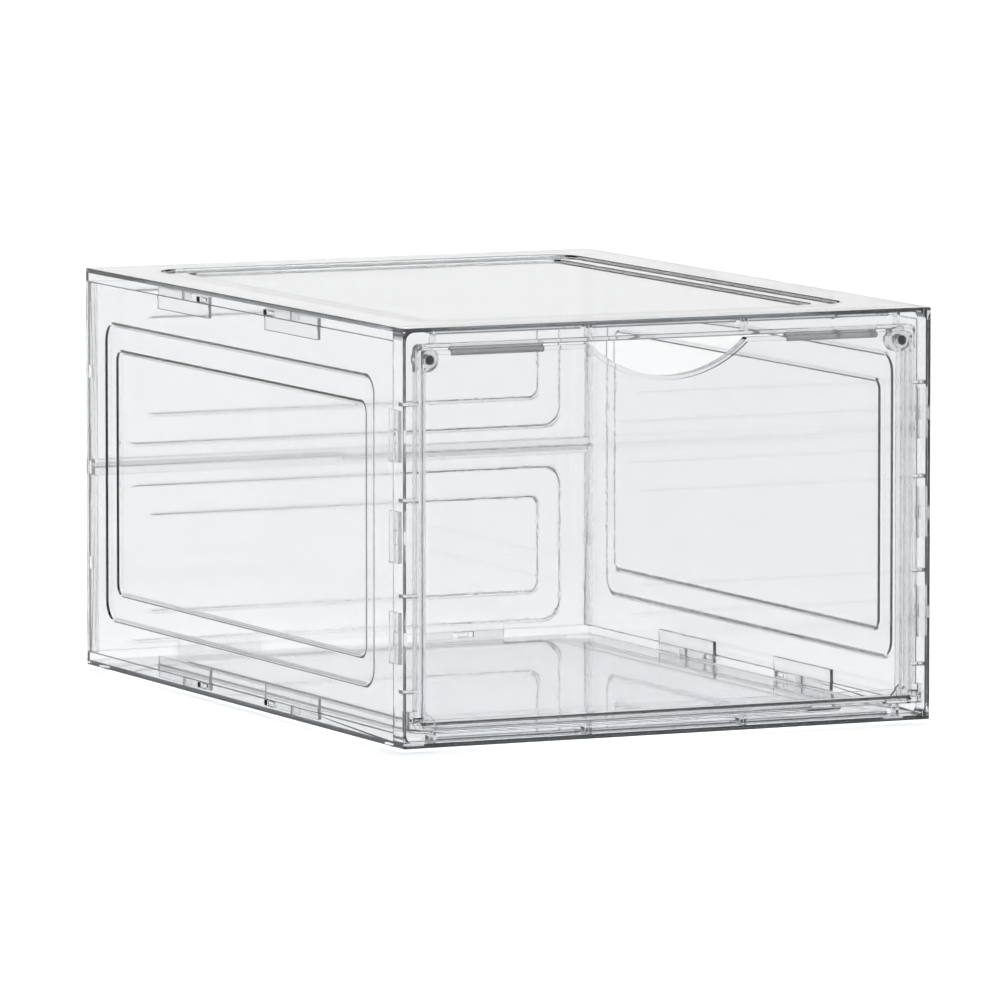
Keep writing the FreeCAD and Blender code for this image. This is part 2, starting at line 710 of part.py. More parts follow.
def add_frame_ribs(body):
    """Stiffen the channel behind the frame's face with short cross ribs."""
    half_height = SHELL_HEIGHT / 2
    inside = s("rebate_wall") / 2
    outside = s("frame_skirt") / 2
    ribs = add_sketch(body, "rib_outline", -s("frame_face") / 2)
    rails = (
        (REBATE_TOP + inside, half_height - outside),
        (-half_height + outside, REBATE_BOTTOM - inside),
    )
    for across in (-s("rail_rib_outer"), -s("rail_rib_inner"), s("rail_rib_inner"), s("rail_rib_outer")):
        for low, high in rails:
            add_rectangle(ribs, *across_box(across, s("rib_wall"), low, high))
    lowest = s("post_rib_low_margin") - half_height
    pitch = (SHELL_HEIGHT - s("post_rib_low_margin") - s("post_rib_high_margin")) / (POST_RIBS - 1)
    for step in range(POST_RIBS):
        height = lowest + pitch * step
        for side in (-1, 1):
            limits = sorted_pair((REBATE_HALF_WIDTH + inside) * side, (HALF_WIDTH - outside) * side)
            add_rectangle(ribs, *along_box(height, s("rib_wall"), *limits))
    add_pad_down(body, "rib", ribs, s("rib_reach") - s("frame_face") / 2)


def add_hinge_blocks(body):
    """Add the blocks at the foot of both posts that hold the door's stubs."""
    half_block = s("stub_radius") + s("hinge_block_wall")
    end = DOOR_HALF_WIDTH + s("stub_length") + s("stub_end_gap")
    blocks = add_sketch(body, "hinge_block_outline", 0)
    for side in (-1, 1):
        limits = sorted_pair(REBATE_HALF_WIDTH * side, (end + s("hinge_block_end")) * side)
        add_rectangle(blocks, *limits, HINGE_HEIGHT - half_block, HINGE_HEIGHT + half_block)
    add_pad_down(body, "hinge_block", blocks, HINGE_RADIUS + half_block)
    for side, name in ((-1, "left"), (1, "right")):
        start = REBATE_HALF_WIDTH - s("door_side_gap")
        hole = add_sketch(body, f"{name}_hinge_hole_outline", start * side, "YZ_Plane")
        add_circle(hole, HINGE_HEIGHT, -HINGE_RADIUS, s("stub_radius") + s("stub_play"))
        pocket = add_pocket(body, f"{name}_hinge_hole", hole, end - start)
        pocket.Reversed = side > 0


def add_frame_windows(body):
    """Cut the windows in the skirt that the side panels' front nubs snap into."""
    middle = -s("frame_depth") - s("seat_gap") + LUG_MIDDLE
    half = s("nub_height") / 2 + s("window_gap")
    length = s("nub_length") + s("window_gap") * 2
    windows = [
        across_box(s("front_nub_pitch") * step, length, middle - half, middle + half)
        for step in (-1, 0, 1)
    ]
    cut = s("cut_margin") + s("frame_skirt") + s("cut_spare")
    beside = HALF_WIDTH + s("cut_margin")
    cut_windows(body, "right_window", "YZ_Plane", beside, windows, cut, False)
    cut_windows(body, "left_window", "YZ_Plane", -beside, windows, cut, True)


def build_door(doc):
    """Front door: own origin on the hinge axis, own Y up the door, own Z to the front."""
    body = add_body(doc, "drop_door")
    top = DOOR_TOP - HINGE_HEIGHT
    face = HINGE_RADIUS
    outline = (-DOOR_HALF_WIDTH, DOOR_HALF_WIDTH, -s("door_root"), top)
    plate = add_sketch(body, "plate_outline", face)
    add_rounded_rectangle(plate, *outline, s("door_corner_round"))
    add_pad_down(body, "plate", plate, s("door_plate"))

    rim = add_sketch(body, "rim_outline", face)
    add_rounded_rectangle(rim, *outline, s("door_corner_round"))
    wall = s("door_rim")
    inner = (-DOOR_HALF_WIDTH + wall, DOOR_HALF_WIDTH - wall, wall, top - wall)
    add_rounded_rectangle(rim, *inner, s("door_inner_round"))
    add_pad_down(body, "rim", rim, s("door_thickness"))

    scoop_centre = top - s("scoop_depth") + s("scoop_radius")
    lens = add_sketch(body, "scoop_rim_outline", face)
    add_segment(lens, top, scoop_centre, s("scoop_radius") + wall)
    add_pad_down(body, "scoop_rim", lens, s("door_thickness"))

    bosses = add_sketch(body, "boss_outline", face)
    magnet_up = MAGNET_HEIGHT - HINGE_HEIGHT
    for side in (-1, 1):
        add_circle(bosses, MAGNET_ACROSS * side, magnet_up, s("door_boss_radius"))
    add_pad_down(body, "boss", bosses, s("door_thickness"))

    barrel = add_sketch(body, "barrel_outline", -DOOR_HALF_WIDTH, "YZ_Plane")
    add_circle(barrel, size(0), size(0), HINGE_RADIUS)
    add_pad(body, "barrel", barrel, DOOR_HALF_WIDTH * 2)
    stub_end = DOOR_HALF_WIDTH + s("stub_length")
    stubs = add_sketch(body, "stub_outline", -stub_end, "YZ_Plane")
    add_circle(stubs, size(0), size(0), s("stub_radius"))
    add_pad(body, "stub", stubs, stub_end * 2)

    scoop = add_sketch(body, "scoop_outline", face + s("cut_margin"))
    add_circle(scoop, size(0), scoop_centre, s("scoop_radius"))
    add_pocket(body, "scoop", scoop, s("door_thickness") + s("cut_margin") * 2)
    pockets = add_sketch(body, "magnet_pocket_outline", -face)
    for side in (-1, 1):
        add_circle(pockets, MAGNET_ACROSS * side, magnet_up, s("magnet_radius") + s("magnet_play"))
    pocket = add_pocket(body, "magnet_pocket", pockets, s("magnet_thickness"))
    pocket.Reversed = True
    return body


def add_segment(sketch, level, centre_up, radius):
    """Draw the part of a circle that lies under a level line."""
    rise = centre_up.value - level.value
    reach = (radius.value ** 2 - rise ** 2) ** 0.5
    left = FreeCAD.Vector(-reach, level.value, 0)
    right = FreeCAD.Vector(reach, level.value, 0)
    lowest = FreeCAD.Vector(0, centre_up.value - radius.value, 0)
    arc = sketch.addGeometry(Part.Arc(left, lowest, right))
    line = sketch.addGeometry(Part.LineSegment(right, left))
    sketch.addConstraint(Sketcher.Constraint("Coincident", arc, 2, line, 1))
    sketch.addConstraint(Sketcher.Constraint("Coincident", line, 2, arc, 1))
    sketch.addConstraint(Sketcher.Constraint("Horizontal", line))
    place_point(sketch, arc, 3, "x", size(0))
    place_point(sketch, arc, 3, "y", centre_up)
    place_point(sketch, line, 1, "y", level)
    index = sketch.addConstraint(Sketcher.Constraint("Radius", arc, radius.value))
    bind(sketch, f"Constraints[{index}]", radius)


def build_magnet(doc, label, side, front_level):
    """Disc magnet with its axis along Y and its front face at a level."""
    magnet = doc.addObject("Part::Cylinder", label)
    magnet.Label = label
    magnet.Placement = FreeCAD.Placement(FreeCAD.Vector(0, 0, 0), turned((1, 0, 0), (0, 0, -1)))
    bind(magnet, "Radius", s("magnet_radius"))
    bind(magnet, "Height", s("magnet_thickness"))
    bind(magnet, ".Placement.Base.x", MAGNET_ACROSS * side)
    bind(magnet, ".Placement.Base.y", front_level)
    bind(magnet, ".Placement.Base.z", MIDDLE + MAGNET_HEIGHT)
    return magnet


def build_pieces(doc):
    """Build every piece and put it in its place."""
    pieces = []
    facing_front = turned((1, 0, 0), (0, 0, 1))
    frame = build_frame(doc)
    put(frame, facing_front, size(0), FRONT, MIDDLE)
    door = build_door(doc)
    put(door, facing_front, size(0), FRONT + HINGE_RADIUS, MIDDLE + HINGE_HEIGHT)
    pieces += [frame, door]

    for label, up, side in (("right_side_panel", 1, 1), ("left_side_panel", -1, -1)):
        panel = build_side_panel(doc, label)
        put(panel, turned((0, 1, 0), (0, 0, up)), HALF_WIDTH * side, SHELL_CENTRE, MIDDLE)
        pieces.append(panel)
    for label, up in (("lower_back_panel", 1), ("upper_back_panel", -1)):
        panel = build_back_panel(doc, label)
        put(panel, turned((-up, 0, 0), (0, 0, up)), size(0), BACK, MIDDLE)
        pieces.append(panel)
    roof = build_cap(doc, "roof_plate", False)
    put(roof, turned((1, 0, 0), (0, 1, 0)), size(0), size(0), s("box_height"))
    floor = build_cap(doc, "floor_plate", True)
    put(floor, turned((-1, 0, 0), (0, 1, 0)), size(0), size(0), s("foot_height"))
    pieces += [roof, floor]

    frame_level = FRONT + REBATE_DEPTH + s("magnet_cover")
    door_level = FRONT + s("door_thickness") - s("magnet_thickness")
    for side, word in ((-1, "left"), (1, "right")):
        pieces.append(build_magnet(doc, f"{word}_frame_magnet", side, frame_level))
        pieces.append(build_magnet(doc, f"{word}_door_magnet", side, door_level))
    return pieces


def check_document(doc, pieces):
    """Stop if any object failed or any piece isn't one valid solid."""
    for item in doc.Objects:
        if "Invalid" in item.State or "Error" in item.State:
            raise RuntimeError(f"{item.Name} failed: {item.State}")
    for piece in pieces:
        shape = piece.Shape
        if shape.isNull() or not shape.isValid():
            raise RuntimeError(f"{piece.Label} has no valid shape")
        if len(shape.Solids) != 1:
            raise RuntimeError(f"{piece.Label} has {len(shape.Solids)} solids")


def main():
    """Build the box and write one STEP file for each piece."""
    doc = FreeCAD.newDocument("shoe_box")
    make_sheet(doc)
    pieces = build_pieces(doc)
    doc.recompute()
    check_document(doc, pieces)
    os.makedirs("parts", exist_ok=True)
    for piece in pieces:
        piece.Shape.exportStep(f"parts/{piece.Label}.step")
        box = piece.Shape.BoundBox
        print(f"{piece.Label:18s} {piece.Shape.Volume:10.1f} mm3  "
              f"x {box.XMin:7.2f} {box.XMax:7.2f}  y {box.YMin:7.2f} {box.YMax:7.2f}  "
              f"z {box.ZMin:7.2f} {box.ZMax:7.2f}")


main()
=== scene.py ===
"""Clear drop-front shoe box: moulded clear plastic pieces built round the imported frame, in metres."""
import json
import logging
import math
from dataclasses import dataclass, field
from enum import Enum

import bmesh
import bpy
from mathutils import Matrix, Vector


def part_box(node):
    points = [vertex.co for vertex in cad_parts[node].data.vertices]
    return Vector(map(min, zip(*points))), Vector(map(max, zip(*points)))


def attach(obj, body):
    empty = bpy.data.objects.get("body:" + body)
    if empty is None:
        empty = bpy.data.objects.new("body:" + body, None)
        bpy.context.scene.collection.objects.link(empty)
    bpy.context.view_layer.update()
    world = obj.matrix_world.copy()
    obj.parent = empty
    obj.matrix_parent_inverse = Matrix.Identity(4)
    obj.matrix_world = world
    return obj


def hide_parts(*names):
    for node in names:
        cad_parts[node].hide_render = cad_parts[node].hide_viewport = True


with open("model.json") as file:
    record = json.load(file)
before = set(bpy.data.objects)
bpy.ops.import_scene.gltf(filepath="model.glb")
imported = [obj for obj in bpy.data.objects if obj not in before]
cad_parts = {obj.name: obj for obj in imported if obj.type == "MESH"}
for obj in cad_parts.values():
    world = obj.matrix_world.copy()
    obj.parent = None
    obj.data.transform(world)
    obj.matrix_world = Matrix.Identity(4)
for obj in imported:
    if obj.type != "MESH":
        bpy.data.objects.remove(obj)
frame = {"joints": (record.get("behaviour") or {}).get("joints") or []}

LOG = logging.getLogger("shoe_box")
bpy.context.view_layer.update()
Pair = tuple[float, float]
Outline = list[Pair]
ARC_STEPS = 6
PAST = 0.001
CLEAR_STEP = 0.02
WELD = 0.000008
SQUARE = 0.000005


class Facing(Enum):
    """Where a piece's own face looks, as the box directions of its own across and up."""

    RIGHT = ((0, 1, 0), (0, 0, 1))
    LEFT = ((0, -1, 0), (0, 0, 1))
    FRONT = ((1, 0, 0), (0, 0, 1))
    BACK_LOW = ((-1, 0, 0), (0, 0, 1))
    BACK_HIGH = ((1, 0, 0), (0, 0, -1))
    UP = ((1, 0, 0), (0, 1, 0))
    DOWN = ((-1, 0, 0), (0, 1, 0))

    def placing(self, origin: Vector) -> Matrix:
        """Give the matrix that puts a piece in the box.

        Args:
            origin: where the piece's own origin lies in the box.

        Returns:
            The matrix from the piece's own across, up and out to the box.
        """
        across, up = (Vector(axis) for axis in self.value)
        turn = Matrix((across, up, across.cross(up))).transposed()
        return Matrix.Translation(origin) @ turn.to_4x4()


class Slot(Enum):
    """Material slots of the record."""

    CLEAR = "clear_plastic"
    METAL = "magnet_metal"


# ---------------------------------------------------------------------------------------- finishes


@dataclass(frozen=True)
class ClearPlastic:
    """Clear injection-moulded plastic with faint flow waves, handling scratches and hazed patches."""

    name: str = "clear_plastic"
    tint: tuple[float, float, float, float] = (0.905, 0.91, 0.915, 1.0)
    depth_tint: tuple[float, float, float, float] = (0.70, 0.715, 0.73, 1.0)
    density: float = 85.0
    ior: float = 1.49
    polish: float = 0.015
    haze: float = 0.09
    wave_scale: float = 16.0
    wave_height: float = 0.00005
    scratch_scale: float = 260.0
    scratch_height: float = 0.000002
    shade: tuple[float, float, float, float] = (0.95, 0.952, 0.955, 1.0)

    def build(self) -> bpy.types.Material:
        """Give the material."""
        material = bpy.data.materials.new(self.name)
        material.use_nodes = True
        nodes, links = material.node_tree.nodes, material.node_tree.links
        shader = nodes["Principled BSDF"]
        shader.inputs["Base Color"].default_value = self.tint
        shader.inputs["Transmission Weight"].default_value = 1.0
        shader.inputs["IOR"].default_value = self.ior
        depth = nodes.new("ShaderNodeVolumeAbsorption")
        depth.inputs["Color"].default_value = self.depth_tint
        depth.inputs["Density"].default_value = self.density
        links.new(depth.outputs["Volume"], nodes["Material Output"].inputs["Volume"])
        place = nodes.new("ShaderNodeTexCoord")

        wave = nodes.new("ShaderNodeTexNoise")
        wave.inputs["Scale"].default_value = self.wave_scale
        wave.inputs["Detail"].default_value = 2.0
        links.new(place.outputs["Object"], wave.inputs["Vector"])

        stretch = nodes.new("ShaderNodeMapping")
        stretch.inputs["Rotation"].default_value = (0.5, 0.3, 0.7)
        stretch.inputs["Scale"].default_value = (1.0, 9.0, 1.0)
        links.new(place.outputs["Object"], stretch.inputs["Vector"])
        scratch = nodes.new("ShaderNodeTexNoise")
        scratch.inputs["Scale"].default_value = self.scratch_scale
        scratch.inputs["Detail"].default_value = 3.0
        links.new(stretch.outputs["Vector"], scratch.inputs["Vector"])

        worn = nodes.new("ShaderNodeValToRGB")
        worn.color_ramp.elements[0].position = 0.52
        worn.color_ramp.elements[1].position = 0.74
        links.new(scratch.outputs["Fac"], worn.inputs["Fac"])
        rub = nodes.new("ShaderNodeMath")
        rub.operation = "MULTIPLY"
        links.new(worn.outputs["Color"], rub.inputs[0])
        links.new(wave.outputs["Fac"], rub.inputs[1])
        gloss = nodes.new("ShaderNodeMapRange")
        gloss.inputs["To Min"].default_value = self.polish
        gloss.inputs["To Max"].default_value = self.haze
        links.new(rub.outputs["Value"], gloss.inputs["Value"])
        links.new(gloss.outputs["Result"], shader.inputs["Roughness"])

        flow = nodes.new("ShaderNodeBump")
        flow.inputs["Strength"].default_value = 1.0
        flow.inputs["Distance"].default_value = self.wave_height
        links.new(wave.outputs["Fac"], flow.inputs["Height"])
        marks = nodes.new("ShaderNodeBump")
        marks.inputs["Strength"].default_value = 1.0
        marks.inputs["Distance"].default_value = self.scratch_height
        links.new(worn.outputs["Color"], marks.inputs["Height"])
        links.new(flow.outputs["Normal"], marks.inputs["Normal"])
        links.new(marks.outputs["Normal"], shader.inputs["Normal"])

        ray = nodes.new("ShaderNodeLightPath")
        shade = nodes.new("ShaderNodeBsdfTransparent")
        shade.inputs["Color"].default_value = self.shade
        either = nodes.new("ShaderNodeMixShader")
        links.new(ray.outputs["Is Shadow Ray"], either.inputs["Fac"])
        links.new(shader.outputs["BSDF"], either.inputs[1])
        links.new(shade.outputs["BSDF"], either.inputs[2])
        links.new(either.outputs["Shader"], nodes["Material Output"].inputs["Surface"])
        return material


@dataclass(frozen=True)
class PlatedMetal:
    """Nickel plating on a disc magnet, slightly mottled."""

    name: str = "magnet_metal"
    light: tuple[float, float, float, float] = (0.46, 0.46, 0.48, 1.0)
    dark: tuple[float, float, float, float] = (0.27, 0.27, 0.28, 1.0)
    scale: float = 900.0

    def build(self) -> bpy.types.Material:
        """Give the material."""
        material = bpy.data.materials.new(self.name)
        material.use_nodes = True
        nodes, links = material.node_tree.nodes, material.node_tree.links
        shader = nodes["Principled BSDF"]
        shader.inputs["Metallic"].default_value = 1.0
        place = nodes.new("ShaderNodeTexCoord")
        mottle = nodes.new("ShaderNodeTexNoise")
        mottle.inputs["Scale"].default_value = self.scale
        mottle.inputs["Detail"].default_value = 4.0
        links.new(place.outputs["Object"], mottle.inputs["Vector"])
        colour = nodes.new("ShaderNodeMix")
        colour.data_type = "RGBA"
        colour.inputs["A"].default_value = self.dark
        colour.inputs["B"].default_value = self.light
        links.new(mottle.outputs["Fac"], colour.inputs["Factor"])
        links.new(colour.outputs["Result"], shader.inputs["Base Color"])
        gloss = nodes.new("ShaderNodeMapRange")
        gloss.inputs["To Min"].default_value = 0.22
        gloss.inputs["To Max"].default_value = 0.42
        links.new(mottle.outputs["Fac"], gloss.inputs["Value"])
        links.new(gloss.outputs["Result"], shader.inputs["Roughness"])
        bump = nodes.new("ShaderNodeBump")
        bump.inputs["Distance"].default_value = 0.00003
        links.new(mottle.outputs["Fac"], bump.inputs["Height"])
        links.new(bump.outputs["Normal"], shader.inputs["Normal"])
        return material


@dataclass(frozen=True)
class PaleFloor:
    """Matt white board."""

    name: str = "pale_floor"
    colour: tuple[float, float, float, float] = (0.9, 0.9, 0.9, 1.0)

    def build(self) -> bpy.types.Material:
        """Give the material."""
        material = bpy.data.materials.new(self.name)
        material.use_nodes = True
        shader = material.node_tree.nodes["Principled BSDF"]
        shader.inputs["Base Color"].default_value = self.colour
        shader.inputs["Roughness"].default_value = 0.9
        shader.inputs["Specular IOR Level"].default_value = 0.0
        return material


# ------------------------------------------------------------------------------------ mesh workshop


def loop_of(mesh: bmesh.types.BMesh, box: tuple[float, float, float, float], curve: float,
            level: float) -> list[bmesh.types.BMEdge]:
    """Draw a closed rectangle with round corners.

    Args:
        mesh: the mesh that gets the loop.
        box: left, right, low and high sides.
        curve: corner radius.
        level: height of the loop's plane.

    Returns:
        The loop's edges.
    """
    left, right, low, high = box
    corners = bmesh.ops.create_grid(mesh, x_segments=1, y_segments=1, size=0.5)["verts"]
    bmesh.ops.scale(mesh, vec=(right - left, high - low, 1), verts=corners)
    middle = ((left + right) / 2, (low + high) / 2, level)
    bmesh.ops.translate(mesh, vec=middle, verts=corners)
    face = corners[0].link_faces[0]
    if curve > 0:
        made = bmesh.ops.bevel(mesh, geom=corners, offset=curve, segments=ARC_STEPS, profile=0.5,
                               affect="VERTICES", material=-1)
        face = made["verts"][0].link_faces[0]
    edges = list(face.edges)
    bmesh.ops.delete(mesh, geom=[face], context="FACES_ONLY")
    return edges


def soften(mesh: bmesh.types.BMesh, edges: list[bmesh.types.BMEdge], reach: float, steps: int) -> None:
    """Round some edges.

    Args:
        mesh: the mesh.
        edges: the edges to round.
        reach: how far the round runs from each edge.
        steps: how many strips each round gets.
    """
    bmesh.ops.bevel(mesh, geom=edges, offset=reach, segments=steps, profile=0.5, affect="EDGES",
                    clamp_overlap=True, material=-1)


class Workshop:
    """Collects a piece's closed solids in its own directions, joins them and dresses the result."""

    def __init__(self, name: str, placing: Matrix) -> None:
        """Start a piece.

        Args:
            name: the piece's name.
            placing: the matrix from the piece's own directions to the box.
        """
        self.name = name
        self.placing = placing
        self.adds: list[bpy.types.Object] = []
        self.cuts: list[bpy.types.Object] = []

    def keep(self, mesh: bmesh.types.BMesh, cut: bool) -> None:
        """Store a finished solid as material or as a cut."""
        bmesh.ops.recalc_face_normals(mesh, faces=mesh.faces)
        data = bpy.data.meshes.new(f"{self.name}_part")
        mesh.to_mesh(data)
        mesh.free()
        item = bpy.data.objects.new(data.name, data)
        (self.cuts if cut else self.adds).append(item)

    def slab(self, box: tuple[float, float, float, float], low: float, high: float,
             curve: float = 0.0, cut: bool = False) -> None:
        """Add or cut a flat slab with round corners.

        Args:
            box: left, right, low and high sides.
            low: level of its back.
            high: level of its front.
            curve: corner radius.
            cut: whether it is cut away.
        """
        mesh = bmesh.new()
        loop = loop_of(mesh, box, curve, low)
        face = bmesh.ops.contextual_create(mesh, geom=loop)["faces"]
        raised = bmesh.ops.extrude_face_region(mesh, geom=face)["geom"]
        tops = [item for item in raised if isinstance(item, bmesh.types.BMVert)]
        bmesh.ops.translate(mesh, vec=(0, 0, high - low), verts=tops)
        self.keep(mesh, cut)

    def prism(self, outline: Outline, low: float, high: float, turn: Matrix | None = None) -> None:
        """Add a straight prism.

        Args:
            outline: its corners in order.
            low: level of its back.
            high: level of its front.
            turn: how the finished prism is turned.
        """
        mesh = bmesh.new()
        corners = [mesh.verts.new((across, up, low)) for across, up in outline]
        face = mesh.faces.new(corners)
        raised = bmesh.ops.extrude_face_region(mesh, geom=[face])["geom"]
        tops = [item for item in raised if isinstance(item, bmesh.types.BMVert)]
        bmesh.ops.translate(mesh, vec=(0, 0, high - low), verts=tops)
        if turn:
            bmesh.ops.transform(mesh, matrix=turn, verts=mesh.verts)
        self.keep(mesh, False)

    def rod(self, start: Vector, end: Vector, radius: float, steps: int = 32, cut: bool = False) -> None:
        """Add or cut a round rod between two points.

        Args:
            start: middle of one end.
            end: middle of the other end.
            radius: its radius.
            steps: how many sides stand for its round.
            cut: whether it is cut away.
        """
        mesh = bmesh.new()
        line = end - start
        bmesh.ops.create_cone(mesh, cap_ends=True, segments=steps, radius1=radius, radius2=radius,
                              depth=line.length)
        turn = line.to_track_quat("Z", "Y").to_matrix().to_4x4()
        bmesh.ops.transform(mesh, matrix=Matrix.Translation((start + end) / 2) @ turn, verts=mesh.verts)
        self.keep(mesh, cut)

    def disc(self, centre: Pair, radius: float, low: float, high: float, steps: int = 32,
             cut: bool = False) -> None:
        """Add or cut a disc that faces outwards."""
        self.rod(Vector((*centre, low)), Vector((*centre, high)), radius, steps, cut)

    def settle(self) -> bpy.types.Mesh:
        """Join the solids, take away the cuts and go on with the result.

        Returns:
            The joined mesh, in the piece's own directions.
        """
        scene = bpy.context.scene.collection
        base = self.adds[0]
        scene.objects.link(base)
        groups = []
        for label, items, kind in (("adds", self.adds[1:], "UNION"), ("cuts", self.cuts, "DIFFERENCE")):
            if not items:
                continue
            group = bpy.data.collections.new(label)
            groups.append(group)
            for item in items:
                group.objects.link(item)
            step = base.modifiers.new(label, "BOOLEAN")
            step.operation = kind
            step.solver = "EXACT"
            step.operand_type = "COLLECTION"
            step.collection = group
            step.use_self = True
        graph = bpy.context.evaluated_depsgraph_get()
        data = bpy.data.meshes.new_from_object(base.evaluated_get(graph))
        for item in self.adds + self.cuts:
            bpy.data.objects.remove(item)
        for group in groups:
            bpy.data.collections.remove(group)
        self.adds = [bpy.data.objects.new(f"{self.name}_part", data)]
        self.cuts = []
        return data

    def fuse(self, soft: float, angle: float = 35.0, clamp: bool = False) -> bpy.types.Object:
        """Join the solids, take away the cuts and soften the edges.

        Args:
            soft: how far the softened edges run.
            angle: edges that turn by more than this many degrees are softened.
            clamp: whether the softening shrinks where edges crowd.

        Returns:
            The finished piece, at the origin with its place in its mesh.
        """
        data = self.settle()
        bpy.data.objects.remove(self.adds.pop())
        data.name = self.name
        self.clean(data)
        piece = bpy.data.objects.new(self.name, data)
        bpy.context.scene.collection.objects.link(piece)
        bevel = piece.modifiers.new("soft_edges", "BEVEL")
        bevel.width = soft
        bevel.segments = 2
        bevel.limit_method = "ANGLE"
        bevel.angle_limit = math.radians(angle)
        bevel.use_clamp_overlap = clamp
        even = piece.modifiers.new("even_shading", "WEIGHTED_NORMAL")
        even.mode = "FACE_AREA"
        even.weight = 100
        even.keep_sharp = True
        return piece

    def clean(self, data: bpy.types.Mesh) -> None:
        """Merge doubles and flat splits, and put the mesh in its place in the box."""
        mesh = bmesh.new()
        mesh.from_mesh(data)
        bmesh.ops.remove_doubles(mesh, verts=mesh.verts, dist=WELD)
        bmesh.ops.dissolve_limit(mesh, angle_limit=math.radians(0.2), verts=mesh.verts, edges=mesh.edges)
        bmesh.ops.transform(mesh, matrix=self.placing, verts=mesh.verts)
        for face in mesh.faces:
            face.smooth = True
        mesh.to_mesh(data)
        mesh.free()


def dress(piece: bpy.types.Object, material: bpy.types.Material, body: str, slot: Slot,
          *nodes: str) -> bpy.types.Object:
    """Give a piece its finish and tie it to the frame.

    Args:
        piece: the piece.
        material: its finish.
        body: the body that it moves with.
        slot: the record's material slot; not used.
        nodes: the frame's nodes that it stands for.

    Returns:
        The piece.
    """
    piece.data.materials.clear()
    piece.data.materials.append(material)
    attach(piece, body)
    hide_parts(*nodes)
    LOG.info("%s rides on %s: %d faces", piece.name, body, len(piece.data.polygons))
    return piece


# --------------------------------------------------------------------------------------- mouldings


@dataclass(frozen=True)
class Stamp:
    """One rectangle pressed a step inwards."""

    box: tuple[float, float, float, float]
    curve: float


@dataclass
class Moulding:
    """What all the clear mouldings share."""

    wall: float = 0.002
    step: float = 0.001
    taper: float = 45.0
    lug_wall: float = 0.0016
    lug_gap: float = 0.0002
    lug_reach: float = 0.0034
    lug_root: float = 0.006
    nub_length: float = 0.005
    nub_height: float = 0.0014
    nub_proud: float = 0.0009
    window_gap: float = 0.0004
    rim_wall: float = 0.0016
    rim_height: float = 0.0058
    nub_pitch: float = 0.043
    seat_gap: float = 0.0002
    skirt: float = 0.0018
    crease: float = 0.0004
    corner: float = 0.0005
    soft: float = 0.00015

    def pressed_plate(self, shop: Workshop, box: tuple[float, float, float, float],
                      stamps: list[Stamp]) -> None:
        """Mould a plate whose nested rectangles step inwards with a constant wall.

        Args:
            shop: the piece's workshop.
            box: the plate's sides.
            stamps: the pressed rectangles, from the outside in.
        """
        mesh = bmesh.new()
        spread = self.wall * math.tan(math.radians(self.taper / 2))
        run = self.step * math.tan(math.radians(self.taper))
        skins = []
        for thick, grow in ((0.0, 0.0), (self.wall, spread)):
            rings = [(box, SQUARE, -thick)]
            for depth, stamp in enumerate(stamps):
                left, right, low, high = stamp.box
                for drop in (0, 1):
                    out = grow - run * drop
                    sides = (left - out, right + out, low - out, high + out)
                    rings.append((sides, stamp.curve + out, -thick - self.step * (depth + drop)))
            skins.append(rings)
        chain = skins[0][::-1] + skins[1]
        tower = [loop_of(mesh, sides, curve, -CLEAR_STEP * place)
                 for place, (sides, curve, _) in enumerate(chain)]
        for first, second in zip(tower, tower[1:]):
            bmesh.ops.bridge_loops(mesh, edges=first + second)
        for place, (loop, (_, _, level)) in enumerate(zip(tower, chain)):
            corners = list({corner for edge in loop for corner in edge.verts})
            bmesh.ops.translate(mesh, vec=(0, 0, level + CLEAR_STEP * place), verts=corners)
        for loop in (tower[0], tower[-1]):
            bmesh.ops.contextual_create(mesh, geom=loop)
        rims = (len(skins[0]) - 1, len(skins[0]))
        square = {corner for place in rims for edge in tower[place] for corner in edge.verts}
        bmesh.ops.remove_doubles(mesh, verts=list(square), dist=3 * SQUARE)
        creases = [edge for place, loop in enumerate(tower) if place not in rims for edge in loop]
        soften(mesh, creases, self.crease, 3)
        shop.keep(mesh, False)

    def lugs(self, shop: Workshop, host_wall: float, roots: list, reaches: list, nubs: list) -> None:
        """Mould snap lugs that pass inside a neighbour's wall, with nubs that face outwards.

        Args:
            shop: the piece's workshop.
            host_wall: the neighbour's wall.
            roots: boxes of the blocks that tie the lugs to the plate.
            reaches: boxes of the lugs.
            nubs: boxes of the nubs.
        """
        top = -host_wall - self.lug_gap
        for box in roots:
            shop.slab(box, top - self.lug_wall, -self.wall / 2)
        for box in reaches:
            shop.slab(box, top - self.lug_wall, top)
        for box in nubs:
            shop.slab(box, top - self.lug_wall / 2, top + self.nub_proud)


def span(centre: float, length: float) -> Pair:
    """Give the two ends of a length about its middle."""
    return centre - length / 2, centre + length / 2


def between(first: float, second: float) -> Pair:
    """Give two levels with the lower one first."""
    return min(first, second), max(first, second)


